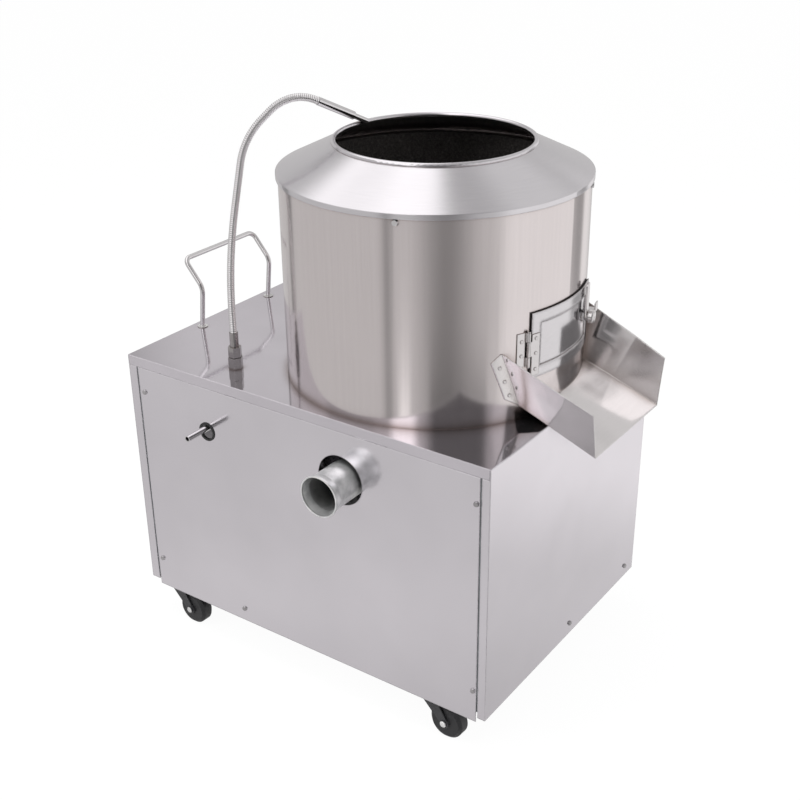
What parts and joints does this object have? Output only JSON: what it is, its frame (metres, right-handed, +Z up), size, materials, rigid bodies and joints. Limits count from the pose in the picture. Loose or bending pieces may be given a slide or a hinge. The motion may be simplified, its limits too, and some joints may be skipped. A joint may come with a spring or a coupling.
{
  "type": "electric potato peeler",
  "caption": "Floor-standing electric potato peeler: abrasive drum on a wheeled steel cabinet, with a loading cone, discharge door and chute, water arm and drain outlet.",
  "frame": {"origin": "on the floor, straight under the drum axis", "axes": "+X towards the discharge chute, -Y towards the drain outlet, +Z up along the drum axis"},
  "size_m": [0.8243, 0.644, 0.9669],
  "materials": {
    "stainless_sheet": "polished stainless sheet with a fine grain",
    "stainless_drum": "polished stainless, grain around the drum",
    "stainless_cone": "bright spun stainless",
    "stainless_trim": "bright stainless",
    "chrome": "bright chrome",
    "zinc": "dull zinc plate",
    "frame_paint": "grey frame paint",
    "abrasive": "rough dark grit",
    "casting": "sand cast",
    "iron": "machined cast iron",
    "steel": "ground steel",
    "rubber": "matt",
    "tyre": "matt",
    "fork": "black enamel",
    "motor_paint": "blue-grey enamel",
    "switch_plastic": "fine grain",
    "black_plastic": "smooth",
    "green_plastic": "smooth",
    "red_plastic": "smooth"
  },
  "bodies": {
    "cabinet": {"cabinet_top": "stainless_sheet", "left_side_panel": "stainless_sheet", "right_side_panel": "stainless_sheet", "front_panel": "stainless_sheet", "back_panel": "stainless_sheet", "chassis_frame": "frame_paint", "panel_screws": "stainless_trim", "drum_shell": "stainless_drum", "abrasive_liner": "abrasive", "hopper_cone": "stainless_cone", "cone_pegs": "stainless_trim", "drum_rivets": "stainless_trim", "chute": "stainless_trim", "hinge_leaf_drum": "stainless_trim", "hinge_pin": "stainless_trim", "latch_keeper": "stainless_trim", "catch_pan": "stainless_sheet", "drain_pipe": "zinc", "bearing_housing": "iron", "shaft_bearings": "steel", "shaft_seal": "rubber", "motor_housing": "motor_paint", "drive_belt": "rubber", "frame_bolts": "zinc", "frame_nuts": "zinc", "water_inlet_pipe": "chrome", "inlet_grommet": "rubber", "arm_fitting": "chrome", "grab_handle": "chrome", "handle_nuts": "zinc", "caster_mounts": "zinc", "switch_box": "switch_plastic", "cable_gland": "black_plastic"},
    "water_arm": {"gooseneck_arm": "chrome", "arm_nozzle": "chrome"},
    "door": {"door_panel": "stainless_trim", "door_gasket": "rubber", "door_plug": "abrasive", "hinge_leaf_door": "stainless_trim", "door_rivets": "stainless_trim"},
    "latch": {"door_latch": "stainless_trim", "latch_knob": "stainless_trim"},
    "disc": {"main_shaft": "steel", "driven_pulley": "iron", "peel_sweeper": "stainless_trim", "disc_casting": "casting", "disc_grit": "abrasive", "disc_nut": "stainless_trim"},
    "rotor": {"motor_rotor": "steel", "motor_pulley": "iron"},
    "start": {"start_button": "green_plastic"},
    "stop": {"stop_button": "red_plastic"},
    "fork_front_left": {"caster_fork_front_left": "fork"},
    "wheel_front_left": {"caster_wheel_front_left": "tyre"},
    "fork_front_right": {"caster_fork_front_right": "fork"},
    "wheel_front_right": {"caster_wheel_front_right": "tyre"},
    "fork_back_right": {"caster_fork_back_right": "fork"},
    "wheel_back_right": {"caster_wheel_back_right": "tyre"},
    "fork_back_left": {"caster_fork_back_left": "fork"},
    "wheel_back_left": {"caster_wheel_back_left": "tyre"}
  },
  "joints": [
    {"name": "door_hinge", "type": "hinge", "parent": "cabinet", "child": "door", "pos_m": [0.2301, -0.09437, 0.641], "axis": [0, 0, -1], "range_deg": [0, 90]},
    {"name": "latch_turn", "type": "hinge", "parent": "door", "child": "latch", "pos_m": [0.24407, 0.0586, 0.647], "axis": [-0.9724, -0.2334, 0], "range_deg": [0, 90]},
    {"name": "arm_swing", "type": "hinge", "parent": "cabinet", "child": "water_arm", "pos_m": [-0.2635, -0.1997, 0.577], "axis": [0, 0, 1], "range_deg": [-48, 0]},
    {"name": "disc_spin", "type": "hinge", "parent": "cabinet", "child": "disc", "pos_m": [0, 0, 0.367], "axis": [0, 0, 1], "continuous": true},
    {"name": "motor_spin", "type": "hinge", "parent": "cabinet", "child": "rotor", "pos_m": [-0.32, 0, 0.367], "axis": [0, 0, 1], "continuous": true},
    {"name": "start_press", "type": "slide", "parent": "cabinet", "child": "start", "axis": [0, -1, 0], "range_m": [0, 0.004], "stiffness_N_per_m": 400, "springref_m": -0.002},
    {"name": "stop_press", "type": "slide", "parent": "cabinet", "child": "stop", "axis": [0, -1, 0], "range_m": [0, 0.004], "stiffness_N_per_m": 400, "springref_m": -0.002},
    {"name": "swivel_front_left", "type": "hinge", "parent": "cabinet", "child": "fork_front_left", "pos_m": [-0.395, -0.2395, 0.066], "axis": [0, 0, 1], "continuous": true},
    {"name": "swivel_front_right", "type": "hinge", "parent": "cabinet", "child": "fork_front_right", "pos_m": [0.164, -0.2395, 0.066], "axis": [0, 0, 1], "continuous": true},
    {"name": "swivel_back_right", "type": "hinge", "parent": "cabinet", "child": "fork_back_right", "pos_m": [0.164, 0.2395, 0.066], "axis": [0, 0, 1], "continuous": true},
    {"name": "swivel_back_left", "type": "hinge", "parent": "cabinet", "child": "fork_back_left", "pos_m": [-0.395, 0.2395, 0.066], "axis": [0, 0, 1], "continuous": true},
    {"name": "roll_front_left", "type": "hinge", "parent": "fork_front_left", "child": "wheel_front_left", "pos_m": [-0.36804, -0.24091, 0.031], "axis": [0.0523, 0.9986, 0], "continuous": true},
    {"name": "roll_front_right", "type": "hinge", "parent": "fork_front_right", "child": "wheel_front_right", "pos_m": [0.19096, -0.24091, 0.031], "axis": [0.0523, 0.9986, 0], "continuous": true},
    {"name": "roll_back_right", "type": "hinge", "parent": "fork_back_right", "child": "wheel_back_right", "pos_m": [0.19096, 0.23809, 0.031], "axis": [0.0523, 0.9986, 0], "continuous": true},
    {"name": "roll_back_left", "type": "hinge", "parent": "fork_back_left", "child": "wheel_back_left", "pos_m": [-0.36804, 0.23809, 0.031], "axis": [0.0523, 0.9986, 0], "continuous": true}
  ],
  "couplings": [
    {"joint": "motor_spin", "follows": "disc_spin", "ratio": 4.1579}
  ]
}
